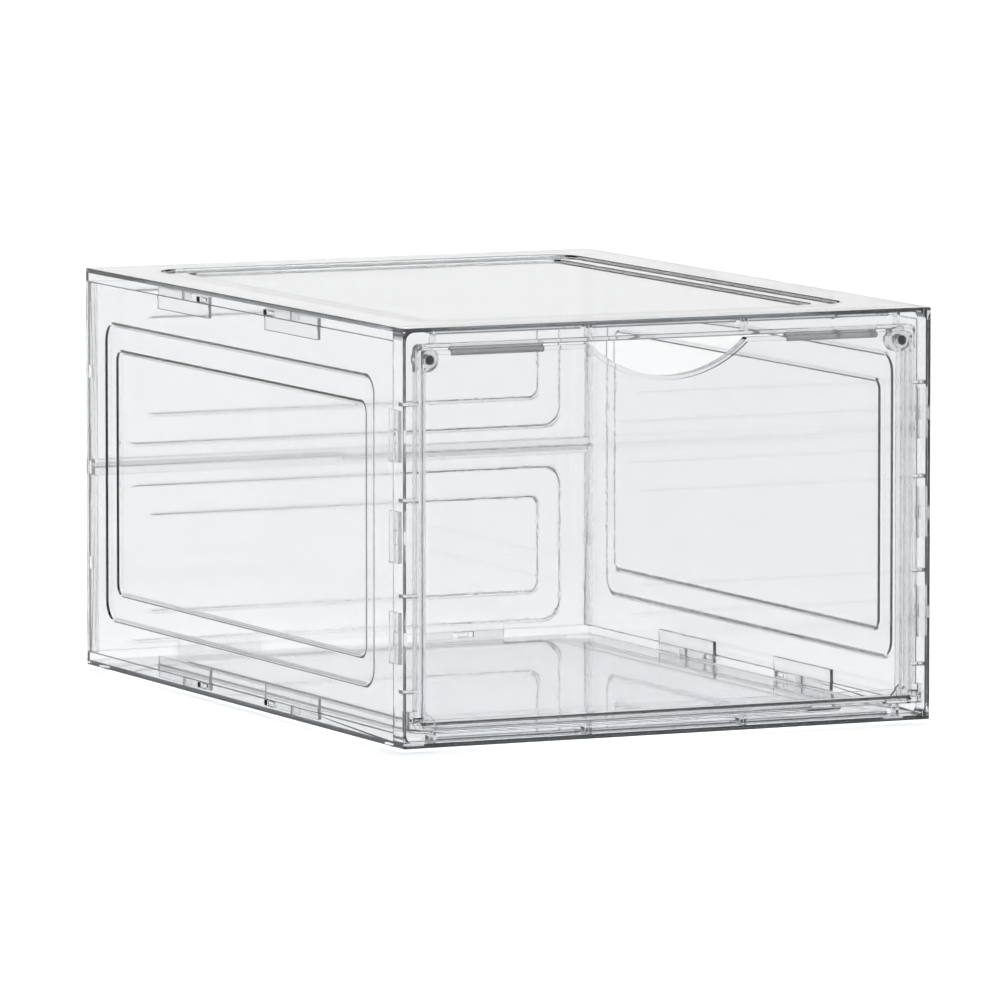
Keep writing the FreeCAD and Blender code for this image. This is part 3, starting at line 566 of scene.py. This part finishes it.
@dataclass
class SidePanel(Moulding):
    """A side wall: two nested pressed rectangles, lugs on three edges, windows at the back."""

    node: str = "right_side_panel"
    facing: Facing = Facing.RIGHT
    end_margin: float = 0.0219
    edge_margin: float = 0.017
    outer_curve: float = 0.008
    step_length: float = 0.010
    step_height: float = 0.0118
    inner_curve: float = 0.0045
    pocket_offset: float = 0.058
    pocket_length: float = 0.056
    pocket_rib: float = 0.0014
    window_offset: float = 0.036
    front_lug: float = 0.022
    rear_inset: float = 0.0016

    def build(self, finish: bpy.types.Material) -> bpy.types.Object:
        """Build and dress the panel.

        Args:
            finish: its material.

        Returns:
            The panel.
        """
        low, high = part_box(self.node)
        flip = 1 if self.facing is Facing.RIGHT else -1
        front, back = low.y + self.lug_reach, high.y
        bottom, top = low.z + self.lug_reach, high.z - self.lug_reach
        out = high.x if flip > 0 else low.x
        origin = Vector((out, (front + back) / 2, (bottom + top) / 2))
        shop = Workshop(self.node + "_moulding", self.facing.placing(origin))
        half_length, half_height = (back - front) / 2, (top - bottom) / 2
        reach_x, reach_y = half_length - self.end_margin, half_height - self.edge_margin
        stamps = [Stamp((-reach_x, reach_x, -reach_y, reach_y), self.outer_curve)]
        reach_x, reach_y = reach_x - self.step_length, reach_y - self.step_height
        stamps.append(Stamp((-reach_x, reach_x, -reach_y, reach_y), self.inner_curve))
        self.pressed_plate(shop, (-half_length, half_length, -half_height, half_height), stamps)
        self.rim_lugs(shop, half_height)
        self.front_lugs(shop, -half_length * flip, flip)
        for step in (-1, 0, 1):
            end = (half_length - self.wall - self.rear_inset + self.window_gap) * flip
            start = end - (self.nub_height + 2 * self.window_gap) * flip
            sides = between(start, end)
            length = self.nub_length + 2 * self.window_gap
            shop.slab((*sides, *span(self.nub_pitch * step, length)), -self.wall - PAST, PAST, cut=True)
        return dress(shop.fuse(self.soft), finish, "box", Slot.CLEAR, self.node)

    def rim_lugs(self, shop: Workshop, half_height: float) -> None:
        """Mould the split lugs that stand in the roof's and the floor's pockets."""
        roots, reaches, nubs = [], [], []
        half_lug = (self.pocket_length - self.pocket_rib) / 2 - self.window_gap
        shift = (self.pocket_rib + self.window_gap + half_lug) / 2
        for side in (-1, 1):
            for edge in (-1, 1):
                inner = (half_height - self.lug_root) * edge
                lip = between(inner, half_height * edge)
                roots.append((*span(self.pocket_offset * side, self.pocket_length), *lip))
                tall = between(inner, (half_height + self.lug_reach) * edge)
                for half in (-1, 1):
                    centre = self.pocket_offset * side + shift * half
                    reaches.append((*span(centre, half_lug), *tall))
                middle = (half_height + self.lug_reach / 2) * edge
                nubs.append((*span(self.window_offset * side, self.nub_length),
                             *span(middle, self.nub_height)))
        self.lugs(shop, self.rim_wall, roots, reaches, nubs)

    def front_lugs(self, shop: Workshop, front: float, flip: int) -> None:
        """Mould the lugs that pass inside the frame's skirt."""
        roots, reaches, nubs = [], [], []
        for step in (-1, 0, 1):
            across = span(self.nub_pitch * step, self.front_lug)
            inner, tip = front + self.lug_root * flip, front - self.lug_reach * flip
            roots.append((*between(front, inner), *across))
            reaches.append((*between(tip, inner), *across))
            middle = front - self.lug_reach / 2 * flip
            nubs.append((*span(middle, self.nub_height), *span(self.nub_pitch * step, self.nub_length)))
        self.lugs(shop, self.skirt, roots, reaches, nubs)


@dataclass
class BackPanel(Moulding):
    """Half of the back wall: pressed rectangles, flanges, a seam rail with tongue and groove, lugs."""

    node: str = "lower_back_panel"
    facing: Facing = Facing.BACK_LOW
    side_margin: float = 0.0135
    rim_margin: float = 0.0033
    seam_margin: float = 0.009
    outer_curve: float = 0.009
    step_length: float = 0.0116
    step_height: float = 0.0132
    inner_curve: float = 0.005
    flange_wall: float = 0.0016
    flange_depth: float = 0.0055
    rail_height: float = 0.0034
    tongue_wall: float = 0.0012
    tongue_reach: float = 0.0016
    rear_inset: float = 0.0016
    lug_offset: float = 0.060
    lug_length: float = 0.040

    def build(self, finish: bpy.types.Material) -> bpy.types.Object:
        """Build and dress the half panel.

        Args:
            finish: its material.

        Returns:
            The half panel.
        """
        low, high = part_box(self.node)
        mate_low, mate_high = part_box("upper_back_panel" if self.facing is Facing.BACK_LOW
                                     else "lower_back_panel")
        middle = (min(low.z, mate_low.z) + max(high.z, mate_high.z)) / 2
        shop = Workshop(self.node + "_moulding", self.facing.placing(Vector((0, high.y, middle))))
        half_width = (high.x - low.x) / 2 - self.nub_proud
        seam = -self.seat_gap / 2
        span_z = max(high.z, mate_high.z) - min(low.z, mate_low.z)
        edge = -(span_z / 2 - self.lug_reach)
        reach = half_width - self.side_margin
        top, bottom = -self.seam_margin, edge + self.rim_margin
        stamps = [Stamp((-reach, reach, bottom, top), self.outer_curve)]
        reach -= self.step_length
        stamps.append(Stamp((-reach, reach, bottom + self.step_height, top - self.step_height),
                            self.inner_curve))
        self.pressed_plate(shop, (-half_width, half_width, edge, seam), stamps)

        under = -self.wall
        inside = half_width - self.flange_wall
        rail = seam - self.rail_height
        deep = under - self.flange_depth
        shop.prism([(-half_width, edge), (-inside, edge), (-inside, rail), (inside, rail),
                    (inside, edge), (half_width, edge), (half_width, seam), (-half_width, seam)],
                   deep, under / 2)
        nub_top = under - self.rear_inset
        for side in (-1, 1):
            sides = between((half_width - self.flange_wall / 2) * side, (half_width + self.nub_proud) * side)
            shop.slab((*sides, seam - self.nub_length / 2, seam), nub_top - self.nub_height, nub_top)
            shop.slab((*sides, *span(-self.nub_pitch, self.nub_length)), nub_top - self.nub_height, nub_top)
        tongue = under - (self.flange_depth - self.tongue_wall) / 2
        end = half_width - self.flange_wall - self.window_gap
        shop.slab((self.window_gap, end, rail / 2, self.tongue_reach), tongue - self.tongue_wall, tongue)
        groove = (-end - self.window_gap, 0.0, seam - self.tongue_reach - self.window_gap, self.tongue_reach)
        half_gap = self.window_gap / 2
        shop.slab(groove, tongue - self.tongue_wall - half_gap, tongue + half_gap, cut=True)

        roots, reaches, nubs = [], [], []
        for side in (-1, 1):
            across = span(self.lug_offset * side, self.lug_length)
            roots.append((*across, edge, edge + self.lug_root / 2))
            reaches.append((*across, edge - self.lug_reach, edge + self.lug_root / 2))
            nubs.append((*span(self.lug_offset * side, self.nub_length),
                         *span(edge - self.lug_reach / 2, self.nub_height)))
        self.lugs(shop, self.rim_wall, roots, reaches, nubs)
        return dress(shop.fuse(self.soft), finish, "box", Slot.CLEAR, self.node)


@dataclass
class Cap(Moulding):
    """Roof or floor: a pressed deck with a rim on three sides, pocket ribs, windows and feet."""

    node: str = "roof_plate"
    facing: Facing = Facing.UP
    margin: float = 0.022
    outer_curve: float = 0.014
    inset: float = 0.011
    inner_curve: float = 0.008
    pocket_offset: float = 0.058
    pocket_rib: float = 0.0014
    rib_reach: float = 0.005
    window_offset: float = 0.036
    window_length: float = 0.011
    rear_offset: float = 0.060
    rail_rib_inner: float = 0.0368
    rail_rib_outer: float = 0.110
    rib_wall: float = 0.0014
    rib_gap: float = 0.0015
    foot_radius: float = 0.007
    foot_inset: float = 0.011
    foot_height: float = 0.0014

    def build(self, finish: bpy.types.Material) -> bpy.types.Object:
        """Build and dress the cap.

        Args:
            finish: its material.

        Returns:
            The cap.
        """
        low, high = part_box(self.node)
        is_floor = self.facing is Facing.DOWN
        level = low.z + self.foot_height if is_floor else high.z
        shop = Workshop(self.node + "_moulding", self.facing.placing(Vector((0, 0, level))))
        half, front, back = (high.x - low.x) / 2, low.y + self.lug_reach, high.y
        reach, near, far = half - self.margin, front + self.margin, back - self.margin
        stamps = [Stamp((-reach, reach, near, far), self.outer_curve)]
        reach, near, far = reach - self.inset, near + self.inset, far - self.inset
        stamps.append(Stamp((-reach, reach, near, far), self.inner_curve))
        self.pressed_plate(shop, (-half, half, front, back), stamps)

        inside, rear = half - self.rim_wall, back - self.rim_wall
        shop.prism([(-half, front), (-inside, front), (-inside, rear), (inside, rear),
                    (inside, front), (half, front), (half, back), (-half, back)],
                   -self.rim_height, -self.wall / 2)
        centre = (front + back) / 2
        for side in (-1, 1):
            sides = between((inside - self.rib_reach) * side, (inside + self.rim_wall / 2) * side)
            for end in (-1, 1):
                along = span(centre + self.pocket_offset * end, self.pocket_rib)
                shop.slab((*sides, *along), -self.rim_height, -self.wall / 2)
        self.front_lugs(shop, front)
        self.windows(shop, half, centre, back)
        if is_floor:
            for side in (-1, 1):
                for end in (front + self.foot_inset, back - self.foot_inset):
                    shop.disc(((half - self.foot_inset) * side, end), self.foot_radius,
                              -self.wall / 2, self.foot_height, 40)
        return dress(shop.fuse(self.soft), finish, "box", Slot.CLEAR, self.node)

    def front_lugs(self, shop: Workshop, front: float) -> None:
        """Mould the lugs that pass inside the frame's skirt, between its ribs."""
        spare = self.rib_wall / 2 + self.rib_gap
        inner, outer = self.rail_rib_inner, self.rail_rib_outer
        roots, reaches = [], []
        for left, right in ((-outer, -inner), (-inner, inner), (inner, outer)):
            roots.append((left + spare, right - spare, front, front + self.lug_root))
            reaches.append((left + spare, right - spare, front - self.lug_reach, front + self.lug_root))
        self.lugs(shop, self.skirt, roots, reaches, [])

    def windows(self, shop: Workshop, half: float, centre: float, back: float) -> None:
        """Cut the windows in the rim that the panels' nubs snap into."""
        middle = -self.rim_height - self.seat_gap + self.lug_reach / 2
        low, high = span(middle, self.nub_height + 2 * self.window_gap)
        cut = self.rim_wall + PAST
        for side in (-1, 1):
            sides = between((half - cut) * side, (half + PAST) * side)
            for end in (-1, 1):
                along = span(centre + self.window_offset * end, self.window_length)
                shop.slab((*sides, *along), low, high, cut=True)
            across = span(self.rear_offset * side, self.window_length)
            shop.slab((*across, back - cut, back + PAST), low, high, cut=True)


@dataclass
class FrontFrame(Moulding):
    """The front frame: face, skirt, rebate with ledges and stops, magnet bosses, ribs and hinge blocks."""

    node: str = "front_frame"
    face: float = 0.0018
    depth: float = 0.010
    skirt_curve: float = 0.004
    post: float = 0.0085
    rail: float = 0.0088
    rebate_wall: float = 0.0016
    rebate_curve: float = 0.001
    rebate_depth: float = 0.0048
    ledge_reach: float = 0.0038
    ledge_wall: float = 0.0018
    return_wall: float = 0.0014
    rib_wall: float = 0.0014
    rib_reach: float = 0.0062
    rail_ribs: Pair = (0.0368, 0.110)
    post_ribs: tuple[float, ...] = (0.0255, 0.0662, 0.1069, 0.1476)
    bar_length: float = 0.0435
    bar_inset: float = 0.024
    bar_height: float = 0.0038
    bar_edge: float = 0.0003
    bar_root: float = 0.0026
    gusset: float = 0.0065
    boss_radius: float = 0.0054
    magnet_play: float = 0.00005
    magnet_cover: float = 0.001
    stub_radius: float = 0.0015
    block_wall: float = 0.0026
    block_end: float = 0.0016
    hinge_radius: float = 0.00225

    def build(self, finish: bpy.types.Material) -> bpy.types.Object:
        """Build and dress the frame.

        Args:
            finish: its material.

        Returns:
            The frame.
        """
        low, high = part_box(self.node)
        middle = (low.z + high.z) / 2
        shop = Workshop(self.node + "_moulding", Facing.FRONT.placing(Vector((0, low.y, middle))))
        half, tall = (high.x - low.x) / 2, (high.z - low.z) / 2
        across, top, bottom = half - self.post, tall - self.rail, -tall + self.rail
        skirt, wall = self.skirt, self.rebate_wall
        shop.slab((-half, half, -tall, tall), -self.depth, 0, self.corner)
        shop.slab((-half + skirt, half - skirt, -tall + skirt, tall - skirt), -self.depth - PAST,
                  -self.face, self.skirt_curve, cut=True)
        shop.settle()
        shop.slab((-across - wall, across + wall, bottom - wall, top + wall),
                  -self.rebate_depth - self.ledge_wall, -self.face / 2, self.rebate_curve + wall)
        shop.slab((-across, across, bottom, top), -self.depth, PAST, self.rebate_curve, cut=True)
        shop.settle()
        self.ledges(shop, across, top, bottom)
        self.stops(shop, half, across, top, bottom)
        self.bosses(shop, middle)
        self.ribs(shop, half, tall, across, top, bottom, middle)
        self.hinge_blocks(shop, across, middle)
        self.windows(shop, half)
        return dress(shop.fuse(self.soft), finish, "box", Slot.CLEAR, self.node)

    def ledges(self, shop: Workshop, across: float, top: float, bottom: float) -> None:
        """Add the door's ledges and the return walls behind them."""
        wall = self.rebate_wall / 2
        inner = across - self.ledge_reach
        for side in (-1, 1):
            sides = between(inner * side, (across + wall) * side)
            shop.slab((*sides, bottom - wall, top + wall), -self.rebate_depth - self.ledge_wall,
                      -self.rebate_depth)
            sides = between(inner * side, (inner + self.return_wall) * side)
            shop.slab((*sides, bottom - wall, top + wall), -self.depth, -self.rebate_depth)

    def stops(self, shop: Workshop, half: float, across: float, top: float, bottom: float) -> None:
        """Add the stop bars under the top rail and the gussets in the lower corners."""
        wall = self.rebate_wall / 2
        far = half - self.bar_inset
        near = far - self.bar_length
        drop = self.bar_height
        inner = across - self.ledge_reach
        levels = (-self.rebate_depth - self.ledge_wall, -self.rebate_depth)
        front = self.rebate_depth
        edge, root = front + self.bar_edge, front + self.bar_root
        bar = [(front, top + wall), (front, top - drop), (edge, top - drop), (root, top), (root, top + wall)]
        for side in (-1, 1):
            shop.prism(bar, *between(near * side, far * side), Matrix.Rotation(math.radians(90), 4, "Y"))
            corner, low = inner + self.return_wall / 2, bottom - wall
            reach = self.gusset + self.return_wall / 2 + wall
            shop.prism([(corner * side, low), (corner * side, low + reach),
                        ((corner - reach) * side, low)], *levels)

    def bosses(self, shop: Workshop, middle: float) -> None:
        """Add the round bosses that carry the magnets."""
        for side in ("left", "right"):
            low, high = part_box(f"{side}_frame_magnet")
            centre = ((low.x + high.x) / 2, (low.z + high.z) / 2 - middle)
            shop.disc(centre, self.boss_radius, -self.depth, -self.rebate_depth, 48)
            shop.disc(centre, (high.x - low.x) / 2 + self.magnet_play, -self.depth - PAST,
                      -self.rebate_depth - self.magnet_cover, 32, cut=True)

    def ribs(self, shop: Workshop, half: float, tall: float, across: float, top: float,
             bottom: float, middle: float) -> None:
        """Stiffen the channel behind the face with short cross ribs."""
        wall, skirt = self.rebate_wall / 2, self.skirt / 2
        for place in self.rail_ribs:
            for side in (-1, 1):
                sides = span(place * side, self.rib_wall)
                shop.slab((*sides, top + wall, tall - skirt), -self.rib_reach, -self.face / 2)
                shop.slab((*sides, -tall + skirt, bottom - wall), -self.rib_reach, -self.face / 2)
        for height in self.post_ribs:
            for side in (-1, 1):
                sides = between((across + wall) * side, (half - skirt) * side)
                shop.slab((*sides, *span(height - middle, self.rib_wall)), -self.rib_reach, -self.face / 2)

    def hinge_blocks(self, shop: Workshop, across: float, middle: float) -> None:
        """Add the blocks at the foot of both posts, with blind holes for the door's stubs."""
        low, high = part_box("drop_door")
        joint = frame["joints"][0]
        height = joint["pos_m"][2] - middle
        block = self.stub_radius + self.block_wall
        end = (high.x - low.x) / 2 + self.seat_gap * 2
        for side in (-1, 1):
            sides = between(across * side, (end + self.block_end) * side)
            shop.slab((*sides, height - block, height + block), -self.hinge_radius - block, -self.face / 2)
            start = Vector(((across - PAST) * side, height, -self.hinge_radius))
            stop = Vector((end * side, height, -self.hinge_radius))
            shop.rod(start, stop, self.stub_radius + self.magnet_play, 24, cut=True)

    def windows(self, shop: Workshop, half: float) -> None:
        """Cut the windows in the skirt that the side panels' nubs snap into."""
        middle = -self.depth - self.seat_gap + self.lug_reach / 2
        levels = span(middle, self.nub_height + 2 * self.window_gap)
        length = self.nub_length + 2 * self.window_gap
        for step in (-1, 0, 1):
            for side in (-1, 1):
                sides = between((half - self.skirt - PAST) * side, (half + PAST) * side)
                shop.slab((*sides, *span(self.nub_pitch * step, length)), *levels, cut=True)


@dataclass
class DropDoor(Moulding):
    """The door: a rimmed plate with a finger scoop, a hinge barrel with stubs and two magnet bosses."""

    node: str = "drop_door"
    thickness: float = 0.0045
    plate: float = 0.002
    rim: float = 0.002
    corner_curve: float = 0.0025
    inner_curve: float = 0.0015
    root: float = 0.0002
    stub_length: float = 0.0036
    stub_radius: float = 0.0015
    scoop_radius: float = 0.053
    scoop_depth: float = 0.015
    boss_radius: float = 0.0038
    magnet_play: float = 0.00005

    def build(self, finish: bpy.types.Material) -> bpy.types.Object:
        """Build and dress the door.

        Args:
            finish: its material.

        Returns:
            The door.
        """
        low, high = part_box(self.node)
        axis = Vector(frame["joints"][0]["pos_m"])
        shop = Workshop(self.node + "_moulding", Facing.FRONT.placing(axis))
        half = (high.x - low.x) / 2 - self.stub_length
        top = high.z - axis.z
        face, back = self.thickness / 2, -self.thickness / 2
        shop.slab((-half, half, -self.root, top), back, face, self.corner_curve)
        start, end = Vector((-half, 0, 0)), Vector((half, 0, 0))
        shop.rod(start, end, self.thickness / 2, 32)
        reach = Vector((self.stub_length, 0, 0))
        shop.rod(start - reach, end + reach, self.stub_radius, 24)
        recess = Workshop(self.node + "_recess", shop.placing)
        recess.slab((-half + self.rim, half - self.rim, self.rim, top - self.rim), back - PAST,
                    face - self.plate, self.inner_curve)
        centre = (0.0, top - self.scoop_depth + self.scoop_radius)
        recess.disc(centre, self.scoop_radius + self.rim, back - 2 * PAST, face, 360, cut=True)
        for side in ("left", "right"):
            near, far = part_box(f"{side}_door_magnet")
            boss = ((near.x + far.x) / 2, (near.z + far.z) / 2 - axis.z)
            recess.disc(boss, self.boss_radius, back - 2 * PAST, face, 40, cut=True)
            radius = (far.x - near.x) / 2 + self.magnet_play
            shop.disc(boss, radius, back - PAST, back + far.y - near.y, 32, cut=True)
        recess.settle()
        shop.cuts.extend(recess.adds)
        shop.disc(centre, self.scoop_radius, back - PAST, face + PAST, 360, cut=True)
        return dress(shop.fuse(self.soft, clamp=True), finish, "door", Slot.CLEAR, self.node)


@dataclass
class Magnet:
    """A disc magnet with a small chamfer on both rims."""

    node: str
    body: str
    chamfer: float = 0.0003

    def build(self, finish: bpy.types.Material) -> bpy.types.Object:
        """Build and dress the magnet.

        Args:
            finish: its material.

        Returns:
            The magnet.
        """
        low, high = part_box(self.node)
        mesh = bmesh.new()
        radius = (high.x - low.x) / 2
        bmesh.ops.create_cone(mesh, cap_ends=True, segments=48, radius1=radius, radius2=radius,
                              depth=high.y - low.y)
        turn = Matrix.Rotation(math.radians(90), 4, "X")
        bmesh.ops.transform(mesh, matrix=Matrix.Translation((low + high) / 2) @ turn, verts=mesh.verts)
        rims = [edge for edge in mesh.edges if edge.calc_face_angle(0.0) > math.radians(60)]
        soften(mesh, rims, self.chamfer, 2)
        data = bpy.data.meshes.new(self.node + "_disc")
        for face in mesh.faces:
            face.smooth = len(face.verts) == 4
        mesh.to_mesh(data)
        mesh.free()
        piece = bpy.data.objects.new(data.name, data)
        bpy.context.scene.collection.objects.link(piece)
        return dress(piece, finish, self.body, Slot.METAL, self.node)


# ------------------------------------------------------------------------------------------ studio


@dataclass
class Studio:
    """Pale floor, soft light and the camera."""

    camera_place: tuple[float, float, float] = (-2.140, -4.554, 0.610)
    aim: tuple[float, float, float] = (0.0, 0.0, 0.086)
    lens: float = 414.0
    sky_low: float = 1.1
    sky_high: float = 0.06
    sky_fall: Pair = (7.5, 10.5)
    floor_size: float = 60.0
    key_strength: float = 3.8
    key_spread: float = 50.0
    strip_turns: tuple[float, ...] = (-45.0, 0.0, 45.0, 90.0, 135.0, 180.0, 225.0, 270.0)
    strip_size: Pair = (0.5, 2.2)
    strip_away: float = 3.0
    strip_power: float = 7.0

    def build(self) -> None:
        """Build the floor, the sky, the light and the camera."""
        mesh = bmesh.new()
        bmesh.ops.create_circle(mesh, cap_ends=True, segments=96, radius=self.floor_size)
        data = bpy.data.meshes.new("pale_floor")
        mesh.to_mesh(data)
        mesh.free()
        data.materials.append(PaleFloor().build())
        floor = bpy.data.objects.new("pale_floor", data)
        bpy.context.scene.collection.objects.link(floor)
        self.sky()
        key = bpy.data.lights.new("overhead", "SUN")
        key.energy = self.key_strength
        key.angle = math.radians(self.key_spread)
        lamp = bpy.data.objects.new("overhead", key)
        lamp.rotation_euler = (math.radians(-12), math.radians(8), 0)
        lamp.visible_transmission = False
        bpy.context.scene.collection.objects.link(lamp)
        for turn in self.strip_turns:
            self.strip(turn)
        self.camera()
        bpy.context.scene.view_settings.view_transform = "Standard"

    def strip(self, turn: float) -> None:
        """Stand a tall softbox beside the box, seen only in its gloss.

        Args:
            turn: its direction from the box, in degrees from the back towards the right.
        """
        light = bpy.data.lights.new("strip", "AREA")
        light.shape = "RECTANGLE"
        light.size, light.size_y = self.strip_size
        light.energy = self.strip_power
        lamp = bpy.data.objects.new("strip", light)
        angle = math.radians(turn)
        lamp.location = (math.sin(angle) * self.strip_away, math.cos(angle) * self.strip_away,
                         self.strip_size[1] / 2)
        lamp.rotation_euler = (math.radians(90), 0, math.pi - angle)
        lamp.visible_camera = False
        lamp.visible_transmission = False
        lamp.visible_diffuse = False
        bpy.context.scene.collection.objects.link(lamp)

    def sky(self) -> None:
        """Light the scene from a bright horizon that falls off upwards."""
        world = bpy.data.worlds.new("studio")
        bpy.context.scene.world = world
        world.use_nodes = True
        nodes, links = world.node_tree.nodes, world.node_tree.links
        place = nodes.new("ShaderNodeTexCoord")
        parts = nodes.new("ShaderNodeSeparateXYZ")
        links.new(place.outputs["Generated"], parts.inputs["Vector"])
        fall = nodes.new("ShaderNodeMapRange")
        fall.interpolation_type = "SMOOTHSTEP"
        fall.inputs["From Min"].default_value = math.sin(math.radians(self.sky_fall[0]))
        fall.inputs["From Max"].default_value = math.sin(math.radians(self.sky_fall[1]))
        fall.inputs["To Min"].default_value = self.sky_low
        fall.inputs["To Max"].default_value = self.sky_high
        links.new(parts.outputs["Z"], fall.inputs["Value"])
        links.new(fall.outputs["Result"], nodes["Background"].inputs["Strength"])
        nodes["Background"].inputs["Color"].default_value = (1, 1, 1, 1)

    def camera(self) -> None:
        """Place the camera."""
        data = bpy.data.cameras.new("camera")
        data.lens = self.lens
        data.clip_end = 200
        camera = bpy.data.objects.new("camera", data)
        camera.location = self.camera_place
        aim = Vector(self.aim) - camera.location
        camera.rotation_euler = aim.to_track_quat("-Z", "Y").to_euler()
        bpy.context.scene.collection.objects.link(camera)
        bpy.context.scene.camera = camera


@dataclass
class ShoeBox:
    """The whole box."""

    clear: ClearPlastic = field(default_factory=ClearPlastic)
    metal: PlatedMetal = field(default_factory=PlatedMetal)

    def build(self) -> None:
        """Build every piece in order."""
        clear, metal = self.clear.build(), self.metal.build()
        FrontFrame().build(clear)
        SidePanel(node="right_side_panel", facing=Facing.RIGHT).build(clear)
        SidePanel(node="left_side_panel", facing=Facing.LEFT).build(clear)
        BackPanel(node="lower_back_panel", facing=Facing.BACK_LOW).build(clear)
        BackPanel(node="upper_back_panel", facing=Facing.BACK_HIGH).build(clear)
        Cap(node="roof_plate", facing=Facing.UP).build(clear)
        Cap(node="floor_plate", facing=Facing.DOWN).build(clear)
        DropDoor().build(clear)
        for side in ("left", "right"):
            Magnet(f"{side}_frame_magnet", "box").build(metal)
            Magnet(f"{side}_door_magnet", "door").build(metal)


def main() -> None:
    """Build the box and its studio."""
    logging.basicConfig(level=logging.INFO, format="%(message)s")
    ShoeBox().build()
    Studio().build()


if __name__ == "__main__":
    main()
